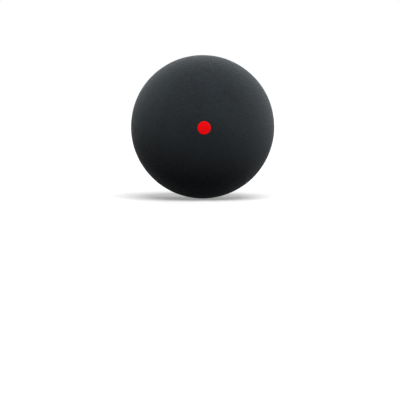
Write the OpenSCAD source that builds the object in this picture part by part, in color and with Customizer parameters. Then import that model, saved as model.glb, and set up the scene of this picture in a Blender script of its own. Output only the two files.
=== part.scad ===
// Squash ball: two moulded rubber half shells bonded rim to rim round a hollow of still air,
// with one printed dot that tells the ball's speed.
// The ball's centre is the origin. The dot faces -Y, and the seam lies in the XZ plane.

/* [Ball] */
// Outside diameter of the ball: the game's rules ask for 39.5 to 40.5, and beginners' balls reach 45
ball_d = 40; // [39.5:0.1:45]
// Thickness of the moulded wall, which sets the ball's weight: 5.2 gives 24 grams
wall_t = 5.2; // [4:0.1:7]

/* [Seam] */
// Thickness of the bond between the two rims
bond_t = 0.15; // [0.05:0.01:0.4]
// How far below the skin the bond ends, so that the ground seam shows as a hairline
bond_setback = 0.06; // [0.02:0.01:0.2]
// Width that grinding breaks off the outer corner of each rim
outer_break = 0.08; // [0.02:0.01:0.3]
// Width of the chamfer on the inner corner of each rim, which takes up squeezed-out bond
inner_chamfer = 0.6; // [0.3:0.05:1.2]
// How far the bead of squeezed-out bond stands into the hollow
bead_rise = 0.25; // [0.1:0.05:0.3]

/* [Speed dot] */
// Diameter of the printed dot
dot_d = 3.5; // [2.5:0.1:6]
// Thickness of the dried ink
dot_t = 0.05; // [0.02:0.01:0.15]

/* [Hidden] */
$fn = 180;

// How far a cut runs past the surface that it opens
overrun = 1;

ball_r = ball_d / 2;
hollow_r = ball_r - wall_t;
rim_y = bond_t / 2;

// The outer corner of a rim, where the ball's circle meets the rim's face
rim_outer_x = sqrt(pow(ball_r, 2) - pow(rim_y, 2));

// The inner chamfer runs at 45 degrees, so x + y is the same all along it
chamfer_sum = hollow_r + inner_chamfer + rim_y;
chamfer_half_width = sqrt(2 * pow(hollow_r, 2) - pow(chamfer_sum, 2)) / 2;

// Where the chamfer runs out into the hollow
mouth_x = chamfer_sum / 2 + chamfer_half_width;
mouth_y = chamfer_sum / 2 - chamfer_half_width;

// The bead's face is an arc through both mouth corners that stands bead_rise into the hollow
bead_r = (pow(mouth_y, 2) + pow(bead_rise, 2)) / (2 * bead_rise);
bead_x = mouth_x - bead_rise + bead_r;

dot_r = dot_d / 2;

// The ink's rim rolls off at a radius of its own thickness, centred this far round the ball
dot_edge_angle = asin((dot_r - dot_t) / ball_r);

rubber_colour = "#24282a";
bond_colour = "#161819";
ink_colour = "#e40b0f";

// Turns what is built on +Z to face the front, -Y
module face_front() {
    rotate([90, 0, 0]) children();
}

// Turns what is built on +Z to face the rear, +Y
module face_rear() {
    rotate([-90, 0, 0]) children();
}

// A 45 degree wedge that breaks the outer corner of the rim
module outer_break_profile() {
    reach = outer_break + overrun;
    polygon([
        [rim_outer_x - reach, rim_y - overrun],
        [rim_outer_x + reach, rim_y - overrun],
        [rim_outer_x + reach, rim_y - overrun + 2 * reach],
    ]);
}

// A 45 degree wedge that chamfers the inner corner of the rim
module inner_chamfer_profile() {
    polygon([
        [hollow_r - overrun, rim_y - overrun],
        [chamfer_sum - rim_y + overrun, rim_y - overrun],
        [hollow_r - overrun, chamfer_sum - hollow_r + overrun],
    ]);
}

// The wall from rim to pole: a quarter ring above the rim's face, with both corners cut
module half_shell_profile() {
    difference() {
        intersection() {
            circle(r = ball_r);
            translate([0, rim_y]) square([ball_r, ball_r]);
        }
        circle(r = hollow_r);
        outer_break_profile();
        inner_chamfer_profile();
    }
}

// One moulding: both halves of the ball come out of the same mould
module half_shell() {
    rotate_extrude() half_shell_profile();
}

// The space between the two inner chamfers, run on into the hollow past the bead
module mouth_profile() {
    inner_x = mouth_x - bead_rise - overrun;
    polygon([
        [chamfer_sum - rim_y, rim_y],
        [inner_x, chamfer_sum - inner_x],
        [inner_x, inner_x - chamfer_sum],
        [chamfer_sum - rim_y, -rim_y],
    ]);
}

// The flat film between the rims, with the bead that fills the mouth
module seam_bond_profile() {
    translate([hollow_r, -rim_y]) square([wall_t - bond_setback, bond_t]);
    intersection() {
        translate([bead_x, 0]) circle(r = bead_r);
        mouth_profile();
    }
}

// The ink film: a thin cap on the ball whose rim rolls down to the rubber
module speed_dot_profile() {
    skin_r = ball_r + dot_t;
    difference() {
        union() {
            intersection() {
                circle(r = skin_r);
                polygon([
                    [0, 0],
                    2 * skin_r * [sin(dot_edge_angle), cos(dot_edge_angle)],
                    [0, 2 * skin_r],
                ]);
            }
            intersection() {
                translate(ball_r * [sin(dot_edge_angle), cos(dot_edge_angle)]) circle(r = dot_t);
                square([skin_r, skin_r]);
            }
        }
        circle(r = ball_r);
    }
}

module front_half_shell() {
    color(rubber_colour) face_front() half_shell();
}

module rear_half_shell() {
    color(rubber_colour) face_rear() half_shell();
}

module seam_bond() {
    color(bond_colour) face_front() rotate_extrude() seam_bond_profile();
}

module speed_dot() {
    color(ink_colour) face_front() rotate_extrude() speed_dot_profile();
}

front_half_shell();
rear_half_shell();
seam_bond();
speed_dot();
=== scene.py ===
# %% [markdown]
# # A squash ball in its finish
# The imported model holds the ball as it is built: two moulded half shells, the ring of dried rubber
# solution that bonds them, and a printed dot. This lesson gives each of them the surface that it
# has in the hand. It loads the model first, because the sizes of the ball are read from it.

# %% Load the ball as it was built
import math

import bpy
import numpy as np
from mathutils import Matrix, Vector


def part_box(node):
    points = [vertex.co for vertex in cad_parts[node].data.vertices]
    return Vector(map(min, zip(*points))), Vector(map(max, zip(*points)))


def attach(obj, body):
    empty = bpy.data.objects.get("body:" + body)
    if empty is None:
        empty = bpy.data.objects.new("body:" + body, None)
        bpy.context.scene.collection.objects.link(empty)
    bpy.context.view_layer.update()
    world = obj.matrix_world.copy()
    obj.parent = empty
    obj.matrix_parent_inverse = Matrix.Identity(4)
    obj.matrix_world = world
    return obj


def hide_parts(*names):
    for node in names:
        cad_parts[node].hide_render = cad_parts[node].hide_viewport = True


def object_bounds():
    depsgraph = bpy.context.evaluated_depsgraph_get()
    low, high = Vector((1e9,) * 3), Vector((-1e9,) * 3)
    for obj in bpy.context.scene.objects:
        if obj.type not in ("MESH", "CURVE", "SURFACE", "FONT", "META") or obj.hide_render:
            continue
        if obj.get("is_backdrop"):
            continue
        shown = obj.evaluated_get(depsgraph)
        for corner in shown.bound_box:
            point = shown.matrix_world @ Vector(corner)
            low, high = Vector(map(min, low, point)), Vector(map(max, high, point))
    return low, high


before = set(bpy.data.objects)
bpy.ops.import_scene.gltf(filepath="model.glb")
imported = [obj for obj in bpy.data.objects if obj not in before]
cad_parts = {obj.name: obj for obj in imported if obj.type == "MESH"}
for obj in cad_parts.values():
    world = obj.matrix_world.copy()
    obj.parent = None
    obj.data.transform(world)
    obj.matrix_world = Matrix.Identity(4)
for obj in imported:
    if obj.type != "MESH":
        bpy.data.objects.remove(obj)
cad_low, cad_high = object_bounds()
scene = bpy.context.scene

# %% [markdown]
# ## Reading the sizes
# A moulded half is a wall with an outer skin, a flat rim, and a hollow inside. Its sizes could be
# typed in again, but then they could drift from the model. Its points say them all: the farthest
# from the centre are the skin, the nearest are the hollow, and the ring nearest to the seam is the
# rim.

# %% Measure the shell and its rim
# A millimetre in metres
MM = 0.001
# A point counts as on the rim if it is this near to the rim's plane
RIM_TOLERANCE = 0.001 * MM


def points_of(node):
    """The corners of a node's mesh as an array with one row per point, in metres."""
    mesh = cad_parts[node].data
    flat = np.empty(len(mesh.vertices) * 3, np.float32)
    mesh.vertices.foreach_get("co", flat)
    return flat.reshape(-1, 3).astype(float)


shell = points_of("rear_half_shell")
from_centre = np.linalg.norm(shell, axis=1)
from_axis = np.hypot(shell[:, 0], shell[:, 2])
skin_r = from_centre.max()
hollow_r = from_centre.min()
rim_y = shell[:, 1].min()
on_rim = shell[:, 1] < rim_y + RIM_TOLERANCE
rim_outer_r = from_axis[on_rim].max()
rim_inner_r = from_axis[on_rim].min()
print(f"skin {skin_r / MM:.2f} mm and hollow {hollow_r / MM:.2f} mm from the centre")
print(f"rim from {rim_inner_r / MM:.2f} to {rim_outer_r / MM:.2f} mm out")
print(f"rim {rim_y / MM:.3f} mm off the seam's middle")

# %% Measure the printed dot
dot_low, dot_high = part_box("speed_dot")
dot_r = (dot_high.x - dot_low.x) / 2
ink_t = -dot_low.y - skin_r
print(f"dot {2 * dot_r / MM:.2f} mm across, ink {ink_t / MM:.3f} mm thick")

# %% [markdown]
# ## A skin that was ground, not polished
# The halves come out of the press a little uneven, and the whole ball is then tumbled against
# grit, which takes off the flash and leaves a dull, very slightly lumpy skin. A texture could
# only pretend at that. Here the lumps are in the shape itself: a sum of cosine waves that run
# through space in random directions, so the pattern has no seam, no pole and no grain of its own.

# %% Waves through space
def random_directions(rng, count):
    """Unit vectors that point anywhere with equal chance: normal numbers, scaled to length one."""
    loose = rng.normal(size=(count, 3))
    return loose / np.linalg.norm(loose, axis=1, keepdims=True)


def waves(points, length, count, seed):
    """One height per point: the sum of `count` cosines of the same wave length, each with its own
    random direction and phase, scaled so that the heights have a standard deviation of one."""
    rng = np.random.default_rng(seed)
    directions = random_directions(rng, count)
    phases = rng.uniform(0, 2 * math.pi, count)
    heights = np.cos(points @ directions.T * (2 * math.pi / length) + phases).sum(axis=-1)
    return heights * math.sqrt(2 / count)


# %% The lumps of the skin
# Each row: wave length, height, number of waves, seed
SKIN_WAVES = [
    (13 * MM, 0.010 * MM, 16, 3),
    (3.1 * MM, 0.0028 * MM, 28, 5),
    (1.15 * MM, 0.0016 * MM, 40, 7),
]
SAMPLE_COUNT, SAMPLE_SEED = 4000, 1


def skin_height(directions):
    """How far the ground skin stands off the true sphere in each unit direction, in metres."""
    on_sphere = directions * skin_r
    return sum(height * waves(on_sphere, length, count, seed)
               for length, height, count, seed in SKIN_WAVES)


sample = skin_height(random_directions(np.random.default_rng(SAMPLE_SEED), SAMPLE_COUNT))
print(f"the skin's lumps: standard deviation {sample.std() / MM:.4f} mm, "
      f"highest {sample.max() / MM:.3f} mm")

# %% [markdown]
# ## From rings of points to a closed surface
# Every new piece here is round about the line through the dot, so each is a stack of rings that
# starts at one pole and ends at another. Blender's Spin or Screw could turn a profile, but the
# poles would need merging and the faces might point inwards. Building the rings as one array
# keeps the order of the corners known: all faces point out, and each pole is a single point.

# %% Rings round the Y axis
FRONT, REAR = -1, 1


def full_turn(steps):
    """The angles of that many even steps round a full turn."""
    return np.linspace(0, 2 * math.pi, steps, endpoint=False)


def turned(radius, height, facing):
    """Rings from distances from the Y axis and heights towards `facing`, both (row, step round).
    The rear's steps run the other way round, so that its faces point outwards too and nothing has
    to be mirrored."""
    turn = full_turn(radius.shape[1])
    across, up = -facing * radius * np.cos(turn), radius * np.sin(turn)
    return np.stack([across, facing * height, up], axis=-1)


def pole_toward(facing):
    """The unit vector to the middle of the front or the rear."""
    return np.array([0.0, facing, 0.0])


# %% The faces of a stack of rings
def faces_between(count, around):
    """Point numbers of the faces, for a first pole, `count` rings of `around` points and a last
    pole. Point (i, j) of the rings joins (i+1, j), (i+1, j+1) and (i, j+1) in a quad, and the end
    rings fan to the poles in triangles."""
    at = 1 + np.arange(count * around).reshape(count, around)
    after = np.roll(at, -1, axis=1)
    quads = np.stack([at[:-1], at[1:], after[1:], after[:-1]], axis=-1).reshape(-1, 4)
    first_pole = np.zeros(around, int)
    last_pole = np.full(around, 1 + count * around)
    first_fan = np.stack([first_pole, at[0], after[0]], axis=-1)
    last_fan = np.stack([at[-1], last_pole, after[-1]], axis=-1)
    return quads, np.vstack([first_fan, last_fan])


# %% Rings into a piece
def into_scene(name, data):
    """A new object in the scene that holds a mesh, a lamp or a camera."""
    thing = bpy.data.objects.new(name, data)
    scene.collection.objects.link(thing)
    return thing


def closed_by_rings(name, first_pole, rings, last_pole):
    """A closed smooth piece from an array of rings (ring, step round, xyz) between two poles."""
    points = np.vstack([[first_pole], rings.reshape(-1, 3), [last_pole]])
    quads, fans = faces_between(*rings.shape[:2])
    corners = np.concatenate([quads.ravel(), fans.ravel()])
    corner_counts = np.repeat([4, 3], [len(quads), len(fans)])
    starts = np.cumsum(corner_counts) - corner_counts
    mesh = bpy.data.meshes.new(name)
    mesh.vertices.add(len(points))
    mesh.vertices.foreach_set("co", points.ravel().astype(np.float32))
    mesh.loops.add(len(corners))
    mesh.loops.foreach_set("vertex_index", corners.astype(np.int32))
    mesh.polygons.add(len(starts))
    mesh.polygons.foreach_set("loop_start", starts.astype(np.int32))
    mesh.update(calc_edges=True)
    mesh.validate()
    mesh.shade_smooth()
    print(f"{name}: {len(points)} points, {2 * len(quads) + len(fans)} triangles")
    return into_scene(name, mesh)


# %% [markdown]
# ## The profile of a half shell
# Going from the outer pole inwards: the skin, the corner that grinding breaks at the seam, the
# flat rim, the chamfer that takes up squeezed-out solution, and the wall of the hollow. One
# profile turned round would leave that corner as even as a lathe does, but grinding bites a little
# deeper in some places than in others. So the corner's width isn't one number but a number for
# each step round, and the profile is worked out for all steps at once.

# %% How closely the rows lie
AROUND = 512
SKIN_STEP = 0.26 * MM
# The last stretch of skin before the seam, where the rows draw closer together
SEAM_BAND = 0.7 * MM
SEAM_ROWS, BREAK_ROWS, RIM_ROWS, CHAMFER_ROWS, HOLLOW_ROWS = 12, 4, 14, 6, 32
print(f"{AROUND} steps round, {2 * math.pi * skin_r / AROUND / MM:.2f} mm apart at the seam")
print(f"rows every {SKIN_STEP / MM:.2f} mm, and {SEAM_ROWS} in the last {SEAM_BAND / MM:.1f} mm")

# %% Ways to share out the rows
def column(values):
    """Values down the rows of a (row, step round) grid."""
    return np.asarray(values)[:, None]


def all_round(rows):
    """A column with the same value at every step round."""
    return np.repeat(rows, AROUND, axis=1)


def eased(rows):
    """Shares of the way from 0 to 1 that start evenly and crowd towards 1: the sine of an evenly
    growing angle."""
    return np.sin(np.linspace(0, math.pi / 2, rows + 1)[1:])


def crowded(rows):
    """A column of shares of the way from 0 to 1, ends left out, that lie closer together near both
    ends: half of one minus the cosine of an evenly growing angle."""
    return column((1 - np.cos(np.linspace(0, math.pi, rows + 2)[1:-1])) / 2)


def between(start, end, share):
    """The straight way from start to end, either of which may differ at each step round."""
    return start + (end - start) * share


print("the chamfer's rows lie at these shares of its way:", crowded(CHAMFER_ROWS).ravel().round(2))

# %% The outside of the profile, from the pole to the rim's inner corner
def skin_angles(break_w):
    """Angles from the pole, (row, step round): even rows, then rows that crowd towards the place
    where a corner break_w wide begins."""
    skin_end = np.arccos((rim_y + break_w) / skin_r)
    band_start = skin_end.mean() - SEAM_BAND / skin_r
    even_rows = round(band_start * skin_r / SKIN_STEP)
    even = column(np.linspace(0, band_start, even_rows + 1)[1:])
    return np.vstack([all_round(even), between(band_start, skin_end, column(eased(SEAM_ROWS)))])


def outside(break_w):
    """Distances from the axis and heights above the seam's middle: the skin as sine and cosine of
    its angle, then straight over the broken corner and along the rim."""
    skin = skin_angles(break_w)
    over_break, over_rim = crowded(BREAK_ROWS), crowded(RIM_ROWS)
    corner_r = skin_r - break_w
    radius = [skin_r * np.sin(skin),
              between(skin_r * np.sin(skin[-1]), corner_r, over_break),
              between(corner_r, rim_inner_r, over_rim)]
    height = [skin_r * np.cos(skin),
              between(rim_y + break_w, rim_y, over_break),
              np.full((RIM_ROWS, AROUND), rim_y)]
    return np.vstack(radius), np.vstack(height)


usual_break = skin_r - rim_outer_r
usual_rows = len(outside(np.full(AROUND, usual_break))[0])
print(f"{usual_rows} rows outside, over a corner usually {usual_break / MM:.2f} mm wide")

# %% The inside of the profile, from the rim's inner corner to the pole
def inside():
    """The same for the inside, where nothing is ground: straight over the 45 degree chamfer, along
    which distance plus height stays the same, to its mouth on the hollow's wall, then the wall."""
    chamfer_sum = rim_inner_r + rim_y
    mouth_half = math.sqrt(2 * hollow_r**2 - chamfer_sum**2) / 2
    mouth_r, mouth_y = chamfer_sum / 2 + mouth_half, chamfer_sum / 2 - mouth_half
    hollow = column(np.linspace(math.atan2(mouth_r, mouth_y), 0, HOLLOW_ROWS + 1)[:-1])
    over_chamfer = crowded(CHAMFER_ROWS)
    radius = [between(rim_inner_r, mouth_r, over_chamfer), hollow_r * np.sin(hollow)]
    height = [between(rim_y, mouth_y, over_chamfer), hollow_r * np.cos(hollow)]
    return all_round(np.vstack(radius)), all_round(np.vstack(height))


print(f"{len(inside()[0])} rows inside, up to the hollow's pole")

# %% [markdown]
# ## Two halves out of the same mould
# Both halves are the same moulding, so one mesh could serve for both. But no two are ground alike,
# so each is worked out with its own seed for the corner at the seam. The skin is then lifted by
# its lumps, and on the broken corner the lift fades out, so that the rims still meet the bond as
# flat faces.

# %% Make the half shells
# The broken corner's width wavers by this share of itself, in waves this long
BREAK_WAVER = 0.28
BREAK_WAVE = 5 * MM
WAVE_COUNT = 12
# Rare high waves are cut off at this many standard deviations
WAVER_LIMIT = 2


def break_widths(seed):
    """The broken corner's width at each step round: its usual width, more or less by waves."""
    turn = full_turn(AROUND)
    seam = skin_r * np.stack([np.cos(turn), np.zeros(AROUND), np.sin(turn)], axis=-1)
    waver = np.clip(waves(seam, BREAK_WAVE, WAVE_COUNT, seed), -WAVER_LIMIT, WAVER_LIMIT)
    return usual_break * (1 + BREAK_WAVER * waver)


def half_shell(name, facing, seed):
    """A half shell: the profile carried round the Y axis, with the skin's rows lifted by the
    lumps and the broken corner's rows lifted less and less towards the rim."""
    outer, inner = outside(break_widths(seed)), inside()
    radius, height = np.concatenate([outer, inner], axis=1)
    rings = turned(radius, height, facing)
    lifted_rows = len(outer[0]) - RIM_ROWS
    fade = np.vstack([np.ones((lifted_rows - BREAK_ROWS, 1)), 1 - crowded(BREAK_ROWS)])
    distances = np.linalg.norm(rings[:lifted_rows], axis=-1, keepdims=True)
    directions = rings[:lifted_rows] / distances
    rings[:lifted_rows] += directions * (skin_height(directions) * fade)[..., None]
    pole = pole_toward(facing)
    return closed_by_rings(name, pole * (skin_r + skin_height(pole)), rings, pole * hollow_r)


front_half = half_shell("front_half", FRONT, seed=21)
rear_half = half_shell("rear_half", REAR, seed=22)

# %% [markdown]
# ## The printed dot
# The dot is pad-printed after grinding: a pad sets down a drop of ink that dries to a thin film.
# Its top follows the skin, its edge stands up a hair where the ink draws together as it dries,
# and its outline wavers by a hundredth. A disc of even thickness would look like a sticker.

# %% The film's thickness from the middle out
LEVEL_ROWS, EDGE_ROWS = 21, 26
# Places and widths as shares of the dot's radius, and the ridge's height as one of the thickness
EDGE_FROM = 0.8
EDGE_RIDGE, RIDGE_AT, RIDGE_WIDTH = 0.16, 0.93, 0.035
# The edge rolls down over a little more than the ink's thickness
EDGE_ROLL = 1.6 * ink_t / dot_r

share_out = np.concatenate([
    np.linspace(0, EDGE_FROM, LEVEL_ROWS + 1)[1:],
    between(EDGE_FROM, 1, eased(EDGE_ROWS)),
])


def film_profile(share):
    """Thickness of the film at each share of the way out, as a share of the ink's own: level in
    the middle, a low ridge by the edge, and a quarter circle down to nothing at the edge."""
    ridge = EDGE_RIDGE * np.exp(-((share - RIDGE_AT) / RIDGE_WIDTH) ** 2)
    to_edge = np.clip((1 - share) / EDGE_ROLL, 0, 1)
    return (1 - EDGE_RIDGE + ridge) * np.sqrt(1 - (1 - to_edge) ** 2)


print(f"the film is {film_profile(share_out).max() * ink_t / MM:.3f} mm thick on its ridge")

# %% A film of ink on the skin
DOT_AROUND = 192
# The outline wavers by this share of the dot's radius, in waves this many radii long
OUTLINE_WAVER = 0.007
OUTLINE_WAVE = 1.3
# The underside lies this far inside the skin, so that no gap shows under the edge
FILM_SINK = 0.004 * MM


def ink_film(name, seed):
    """The top of the film from its middle to the edge, then its underside back, just below the
    skin: each point lies along its own direction from the ball's centre."""
    turn = full_turn(DOT_AROUND)
    outline = np.stack([np.cos(turn), np.zeros(DOT_AROUND), np.sin(turn)], axis=-1)
    edge_r = dot_r * (1 + OUTLINE_WAVER * waves(outline, OUTLINE_WAVE, WAVE_COUNT, seed))
    out = column(np.concatenate([share_out, share_out[-2::-1]])) * edge_r
    directions = turned(out, np.sqrt(skin_r**2 - out**2), FRONT) / skin_r
    top = ink_t * film_profile(share_out)
    underside = np.full(len(share_out) - 1, -FILM_SINK)
    off_skin = column(np.concatenate([top, underside]))
    rings = directions * (skin_r + skin_height(directions) + off_skin)[..., None]
    pole = pole_toward(FRONT)
    skin_at_pole = skin_r + skin_height(pole)
    top_at_pole = skin_at_pole + ink_t * (1 - EDGE_RIDGE)
    return closed_by_rings(name, pole * top_at_pole, rings, pole * (skin_at_pole - FILM_SINK))


ink_dot = ink_film("ink_dot", seed=11)

# %% [markdown]
# ## Small steps that all finishes share
# A finish is a graph of nodes, and wiring it by hand takes a line for every node, value and link.
# Two small classes shorten that. Each finish starts from Object coordinates, so its pattern is cut
# through the solid like grain through wood and can't stretch, and it ends in one shader.

# %% Nodes by short calls
class Graph:
    """The node tree of a material or a world, whose nodes are added and joined by short calls."""

    def __init__(self, owner):
        owner.use_nodes = True
        self.tree = owner.node_tree

    def put(self, socket, value):
        """Joins a socket to an output, or sets its value."""
        if isinstance(value, bpy.types.NodeSocket):
            self.tree.links.new(value, socket)
        else:
            socket.default_value = value

    def add(self, kind, inputs=(), **settings):
        """A node of that kind with its settings, and with values or outputs on its named inputs."""
        node = self.tree.nodes.new(kind)
        for key, value in settings.items():
            setattr(node, key, value)
        for key, value in dict(inputs).items():
            self.put(node.inputs[key], value)
        return node

    def combine(self, kind, *values, **settings):
        """The first output of a node of that kind, with the values on its inputs in order."""
        node = self.add(kind, **settings)
        for socket, value in zip(node.inputs, values):
            self.put(socket, value)
        return node.outputs[0]


def grey(level, tint=(1.0, 1.0, 1.0)):
    """A colour with alpha from a level and a tint."""
    return (*(level * part for part in tint), 1.0)


# %% Patterns on a surface
# Noise seldom leaves this middle stretch of 0 to 1
NOISE_LOW, NOISE_HIGH = 0.35, 0.65


class Finish(Graph):
    """A material with one shader and the patterns that vary it."""

    def __init__(self, name):
        self.material = bpy.data.materials.new(name)
        super().__init__(self.material)
        self.shader = self.tree.nodes["Principled BSDF"]
        self.place = self.add("ShaderNodeTexCoord").outputs["Object"]

    def surface(self, **inputs):
        """Puts values or outputs on the shader's own sockets, each named by its words joined with
        underscores."""
        for key, value in inputs.items():
            self.put(self.shader.inputs[key.replace("_", " ")], value)

    def noise(self, size, detail=2.0, roughness=0.5):
        """Noise whose lumps are about `size` metres across, from 0 to 1."""
        node = self.add("ShaderNodeTexNoise", {
            "Vector": self.place, "Scale": 1 / size, "Detail": detail, "Roughness": roughness,
        })
        return node.outputs[0]

    def spread(self, noise, low=0.0, high=1.0):
        """Stretches noise from its middle to low..high, and holds it there beyond."""
        node = self.add("ShaderNodeMapRange", {
            "Value": noise, "From Min": NOISE_LOW, "From Max": NOISE_HIGH,
            "To Min": low, "To Max": high,
        })
        return node.outputs["Result"]

    def blend(self, share, colour_a, colour_b):
        """Colour a where the share is 0 and colour b where it is 1."""
        node = self.add("ShaderNodeMix", {"Factor": share}, data_type="RGBA")
        socket_a, socket_b = (socket for socket in node.inputs if socket.type == "RGBA")
        self.put(socket_a, colour_a)
        self.put(socket_b, colour_b)
        return next(socket for socket in node.outputs if socket.type == "RGBA")

    def total(self, *parts):
        """The sum of (value, weight) pairs: each node adds one pair's product to the sum so far."""
        so_far = 0.0
        for value, weight in parts:
            so_far = self.combine("ShaderNodeMath", value, weight, so_far, operation="MULTIPLY_ADD")
        return so_far

    def relief(self, height, depth):
        """Turns a height from 0 to 1 into a tilt of the surface, `depth` metres deep."""
        node = self.add("ShaderNodeBump", {"Height": height, "Distance": depth})
        self.surface(Normal=node.outputs["Normal"])

    def done(self):
        """The material, after saying how many nodes it took."""
        print(f"{self.material.name}: {len(self.tree.nodes)} nodes")
        return self.material


# %% [markdown]
# ## Ground black rubber
# Squash rubber is filled with soot, so nearly all light that enters it is lost. What the eye sees
# is mostly a dull veil on the ground surface, weak face on and strong at a glancing angle. Sheen
# is such a veil, and a broad sheen roughness makes it grow smoothly from the middle to the rim. A
# lighter base colour would make the middle as light as the rim instead, and gloss would give a
# highlight that a new ball hasn't got. Only a trace of gloss is left, for the white that the very
# rim mirrors. Soot black is cool: it gives back more blue than red. The bloom of the mix varies
# slowly over the ball, and the grit leaves a grain of a fifth of a millimetre and some wider pits.
#
# The strength of a sheen is its weight times its tint. Here the weight is one and the tint is
# dark, which renders as a small weight with a pale tint would. A glTF file has a colour for the
# sheen and no weight, and Blender's own exporter writes the tint there as it stands. This way
# the veil is as faint in such a file too.

# %% The blacks and the veil of ground rubber
SOOT = (0.77, 1.04, 1.27)
DEEP_BLACK, BLOOMED_BLACK = grey(0.0035, SOOT), grey(0.0150, SOOT)
VEIL = (0.92, 1.00, 1.05)
GROUND_VEIL = grey(0.11, VEIL)
VEIL_SPREAD = 0.70
TRACE_OF_GLOSS = 0.02
for title, colour in (("deep", DEEP_BLACK), ("bloomed", BLOOMED_BLACK), ("veil", GROUND_VEIL)):
    print(title, [round(part, 4) for part in colour[:3]])

# %% The rubber's finish
GRAIN_DEPTH = 0.090 * MM


def ground_grain(finish):
    """The fine grain that the grit leaves, and the height of grain and wider pits together."""
    grain = finish.noise(0.20 * MM, roughness=0.6)
    pits = finish.noise(0.50 * MM, detail=1)
    return grain, finish.total((grain, 0.55), (pits, 0.45))


def rubber_finish():
    """Soot-black rubber: cloudy base colour, dull varied roughness, a ground grain and pits."""
    finish = Finish("ground_rubber")
    clouds = finish.noise(7 * MM, detail=3, roughness=0.55)
    mottle = finish.noise(0.9 * MM, detail=3, roughness=0.6)
    grain, height = ground_grain(finish)
    bloom = finish.spread(finish.total((clouds, 0.30), (mottle, 0.30), (grain, 0.40)))
    finish.surface(
        Base_Color=finish.blend(bloom, DEEP_BLACK, BLOOMED_BLACK),
        Roughness=finish.spread(finish.total((clouds, 0.5), (grain, 0.5)), 0.58, 0.72),
        Specular_IOR_Level=TRACE_OF_GLOSS,
        Sheen_Weight=1.0,
        Sheen_Roughness=VEIL_SPREAD,
        Sheen_Tint=GROUND_VEIL,
    )
    finish.relief(height, GRAIN_DEPTH)
    return finish.done()


rubber = rubber_finish()

# %% [markdown]
# ## Dried rubber solution
# The bond is the same rubber without its grinding: it dried in the joint, so it is smoother than
# the skin and has about half of its dull veil. It shows as a hairline at the foot of the seam. It
# might be made glossy, but it would then mirror the white studio, and the hairline would turn
# paler than the skin wherever the ball is in shade.

# %% The bond's finish
THICK_BLACK, THIN_BLACK = grey(0.0045, SOOT), grey(0.0085, SOOT)
DRIED_VEIL = grey(0.06, VEIL)
BEAD_DEPTH = 0.02 * MM


def bond_finish():
    """Smooth black rubber solution with slow flow marks and small beads."""
    finish = Finish("dried_rubber_solution")
    flow = finish.noise(2.5 * MM)
    beads = finish.noise(0.35 * MM)
    finish.surface(
        Base_Color=finish.blend(finish.spread(flow), THICK_BLACK, THIN_BLACK),
        Roughness=finish.spread(beads, 0.44, 0.56),
        Specular_IOR_Level=TRACE_OF_GLOSS,
        Sheen_Weight=1.0,
        Sheen_Roughness=VEIL_SPREAD,
        Sheen_Tint=DRIED_VEIL,
    )
    finish.relief(beads, BEAD_DEPTH)
    return finish.done()


solution = bond_finish()

# %% [markdown]
# ## Red printing ink
# The ink is a strong warm red, dull like the rubber under it. It could have a grain of its own,
# but a film so thin doesn't fill the rubber's grain, it only softens it. So the ink reads the very
# same grain and pits, at half their depth. Pad printing also leaves the colour a little uneven.

# %% The ink's finish
FILM_SOFTENS = 0.5
DEEP_RED = (0.82, 0.0010, 0.0030, 1.0)
BRIGHT_RED = (0.95, 0.0020, 0.0050, 1.0)


def ink_finish():
    """Dull red ink: slightly uneven colour, with the rubber's grain showing through."""
    finish = Finish("red_ink")
    patches = finish.noise(0.8 * MM)
    grain, height = ground_grain(finish)
    strength = finish.spread(finish.total((patches, 0.6), (grain, 0.4)))
    finish.surface(
        Base_Color=finish.blend(strength, DEEP_RED, BRIGHT_RED),
        Roughness=finish.spread(grain, 0.52, 0.62),
        Specular_IOR_Level=0.06,
    )
    finish.relief(height, FILM_SOFTENS * GRAIN_DEPTH)
    return finish.done()


ink = ink_finish()

# %% [markdown]
# ## Which piece stands for which node
# The whole ball is one body. Each new surface rides on it, hides the plain solid that it stands
# for, and prints the material slot of the record that its finish belongs to. The bond's own solid
# has the right shape already, so it stays and only takes its finish.

# %% Dress, ride, replace and print the slots
for piece, node, slot, finish in (
    (front_half, "front_half_shell", "rubber", rubber),
    (rear_half, "rear_half_shell", "rubber", rubber),
    (ink_dot, "speed_dot", "ink", ink),
):
    piece.data.materials.append(finish)
    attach(piece, "root")
    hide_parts(node)
    print(f"{piece.name} stands for {node}, with {finish.name} as its {slot}")

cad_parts["seam_bond"].material_slots[0].material = solution
print(f"seam_bond stays, with {solution.name} on it")

# %% [markdown]
# ## Light
# The picture shows soft light from above and a touch from the right, and an underside left dark.
# An area lamp would light the floor in a pool. A sun with a wide disc is like a huge softbox far
# away: it lights floor and ball evenly, so the floor stays one white to the horizon. Three do it: a
# strong one above the camera, one behind that lights the rim of the top, and a weak one at the
# right. A sun of strength pi renders a white card that faces it as white, and the shares of it
# below leave a card that faces the front at a little over eight tenths.

# %% Suns
WHITE_SUN = math.pi
WORLD_FILL = 0.015

# Each row: name, azimuth from the front round to the right, elevation, share of white that it
# gives to a card facing it, and the width of its disc, with the angles in degrees
SOFTBOXES = [
    ("overhead_softbox", 12, 57, 1.54, 50),
    ("back_softbox", 176, 42, 0.55, 60),
    ("right_softbox", 110, 18, 0.22, 40),
]


def from_side(azimuth, elevation):
    """The direction at that azimuth, from the front (-Y) round to the right, and elevation."""
    az, el = math.radians(azimuth), math.radians(elevation)
    return Vector((math.sin(az) * math.cos(el), -math.cos(az) * math.cos(el), math.sin(el)))


def soft_sun(name, toward, share, disc):
    """A sun seen in the direction `toward`, `disc` degrees wide, that renders a white card which
    faces it at `share` of white."""
    lamp = bpy.data.lights.new(name, "SUN")
    lamp.energy = share * WHITE_SUN
    lamp.angle = math.radians(disc)
    sun = into_scene(name, lamp)
    sun.rotation_mode = "QUATERNION"
    sun.rotation_quaternion = toward.to_track_quat("Z", "Y")


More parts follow.
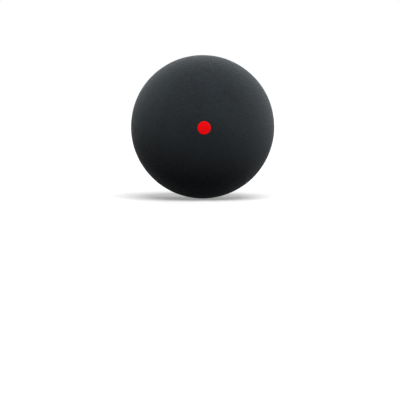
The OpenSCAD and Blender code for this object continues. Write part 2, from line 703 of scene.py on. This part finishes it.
on_front, on_floor = WORLD_FILL, WORLD_FILL
for name, azimuth, elevation, share, disc in SOFTBOXES:
    toward = from_side(azimuth, elevation)
    soft_sun(name, toward, share, disc)
    on_front += share * max(0, -toward.y)
    on_floor += share * toward.z
print(f"a white card renders at {on_front:.2f} facing the front and at {on_floor:.2f} lying flat")

# %% [markdown]
# ## The white round the ball
# The picture's ground is pure white, but a white world that also lit the ball would wash out its
# dark underside. Light Path tells the two apart: rays from the camera, reflections and rays
# through glass find white, and all other rays find only a faint grey fill.

# %% The white that the camera sees
def seen_plainly(graph):
    """One where a ray comes from the camera, a reflection or through glass, else zero."""
    path = graph.add("ShaderNodeLightPath").outputs
    seen = path["Is Camera Ray"]
    for other in ("Is Glossy Ray", "Is Transmission Ray"):
        seen = graph.combine("ShaderNodeMath", seen, path[other], operation="MAXIMUM")
    return seen


def studio_world():
    """White where it is looked at, and a faint grey fill for the light that it gives."""
    scene.world = bpy.data.worlds.new("studio")
    graph = Graph(scene.world)
    strength = graph.add("ShaderNodeMapRange", {
        "Value": seen_plainly(graph), "To Min": WORLD_FILL, "To Max": 1.0,
    })
    background = graph.tree.nodes["Background"]
    graph.put(background.inputs["Color"], grey(1))
    graph.put(background.inputs["Strength"], strength.outputs["Result"])


studio_world()
print(f"the world is seen as white and lights the ball at {WORLD_FILL} of white")

# %% [markdown]
# ## Floor
# The ball rests on a plain pale floor at the height of its lowest point. White paper would clip
# under these lamps and lose the soft end of the shadow. So the floor is seen as half-grey paper
# plus a faint glow that lifts it to white and leaves the shadow in it. For the light that it
# throws back it is nearly black, because the picture's ball has a dark underside.

# %% The floor's paper
SEEN_PAPER = 0.50
SEEN_GLOW = 0.30
BACK_PAPER = 0.04


def floor_paper():
    """Paper and glow added up where the floor is looked at, dark paper for all other rays."""
    material = bpy.data.materials.new("floor_paper")
    graph = Graph(material)
    graph.tree.nodes.remove(graph.tree.nodes["Principled BSDF"])
    paper = graph.combine("ShaderNodeBsdfDiffuse", grey(SEEN_PAPER))
    back_paper = graph.combine("ShaderNodeBsdfDiffuse", grey(BACK_PAPER))
    glow = graph.combine("ShaderNodeEmission", grey(1), SEEN_GLOW)
    seen = graph.combine("ShaderNodeAddShader", paper, glow)
    either = graph.combine("ShaderNodeMixShader", seen_plainly(graph), back_paper, seen)
    graph.put(graph.tree.nodes["Material Output"].inputs["Surface"], either)
    return material


lit = SEEN_PAPER * on_floor + SEEN_GLOW
print(f"the floor is seen at {lit:.2f} of white, and at {SEEN_GLOW:.2f} or more in the shadow")

# %% Lay the floor
FLOOR_REACH = 6.0
CORNER_SIGNS = ((-1, -1), (1, -1), (1, 1), (-1, 1))


def studio_floor(level):
    """One flat square, reaching FLOOR_REACH metres to each side, at that height."""
    corners = [(x * FLOOR_REACH, y * FLOOR_REACH, level) for x, y in CORNER_SIGNS]
    mesh = bpy.data.meshes.new("studio_floor")
    mesh.from_pydata(corners, [], [(0, 1, 2, 3)])
    mesh.update()
    mesh.materials.append(floor_paper())
    into_scene("studio_floor", mesh)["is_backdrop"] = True


studio_floor(-skin_r)
print(f"floor laid {skin_r / MM:.2f} mm below the ball's centre")

# %% [markdown]
# ## Camera
# The picture looks almost straight at the dot, from a hair to the left and above. The camera could
# be nudged until the render looks the same, but all but one of its values can be worked out. The
# ball's place and size in the frame fix where the camera aims and how long its lens is, and the
# dot's small offset from the ball's middle fixes the side that it looks from. Only the distance
# is chosen: it is that of someone who fills a picture with so small a thing.

# %% Camera
FRAME_PX = 400
BALL_PX = (202.11, 126.44)
BALL_R_PX = 71.54
DOT_PX = (203.67, 127.44)
# A pixel's number stands for its middle, half a pixel from its edge
PX_MIDDLE = 0.5
DISTANCE = 0.40
SENSOR_MM = 36.0


def photo_camera():
    """A camera at DISTANCE whose lens gives the ball its radius in pixels, turned so that the
    ball's centre and the dot fall on their pixels."""
    focal_px = BALL_R_PX / math.tan(math.asin(skin_r / DISTANCE))
    px_on_skin = focal_px / (DISTANCE - skin_r)
    left = math.degrees(math.asin((DOT_PX[0] - BALL_PX[0]) / px_on_skin / skin_r))
    above = math.degrees(math.asin((DOT_PX[1] - BALL_PX[1]) / px_on_skin / skin_r))
    back = from_side(-left, above)
    camera = into_scene("camera", bpy.data.cameras.new("camera"))
    camera.data.sensor_width = SENSOR_MM
    camera.data.lens = focal_px * SENSOR_MM / FRAME_PX
    camera.location = back * DISTANCE
    straight = (-back).to_track_quat("-Z", "Y")
    right_px = BALL_PX[0] + PX_MIDDLE - FRAME_PX / 2
    up_px = FRAME_PX / 2 - BALL_PX[1] - PX_MIDDLE
    aim = straight @ Vector((-right_px, -up_px, -focal_px))
    camera.rotation_mode = "QUATERNION"
    camera.rotation_quaternion = aim.to_track_quat("-Z", "Y")
    scene.camera = camera
    print(f"lens {camera.data.lens:.1f} mm, {left:.2f} degrees to the left and {above:.2f} above")


photo_camera()
scene.view_settings.view_transform = "Standard"

# %% [markdown]
# ## Does the finish fit the model?
# Looks may not change a size. The box round the finished pieces is set beside the box that the
# model had when it was loaded: lumps of a few hundredths of a millimetre are all that may differ.

# %% Compare the box of the looks with the box of the model
low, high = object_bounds()
for title, span in (("model", cad_high - cad_low), ("looks", high - low)):
    print(title, "spans", [round(side / MM, 3) for side in span], "mm")
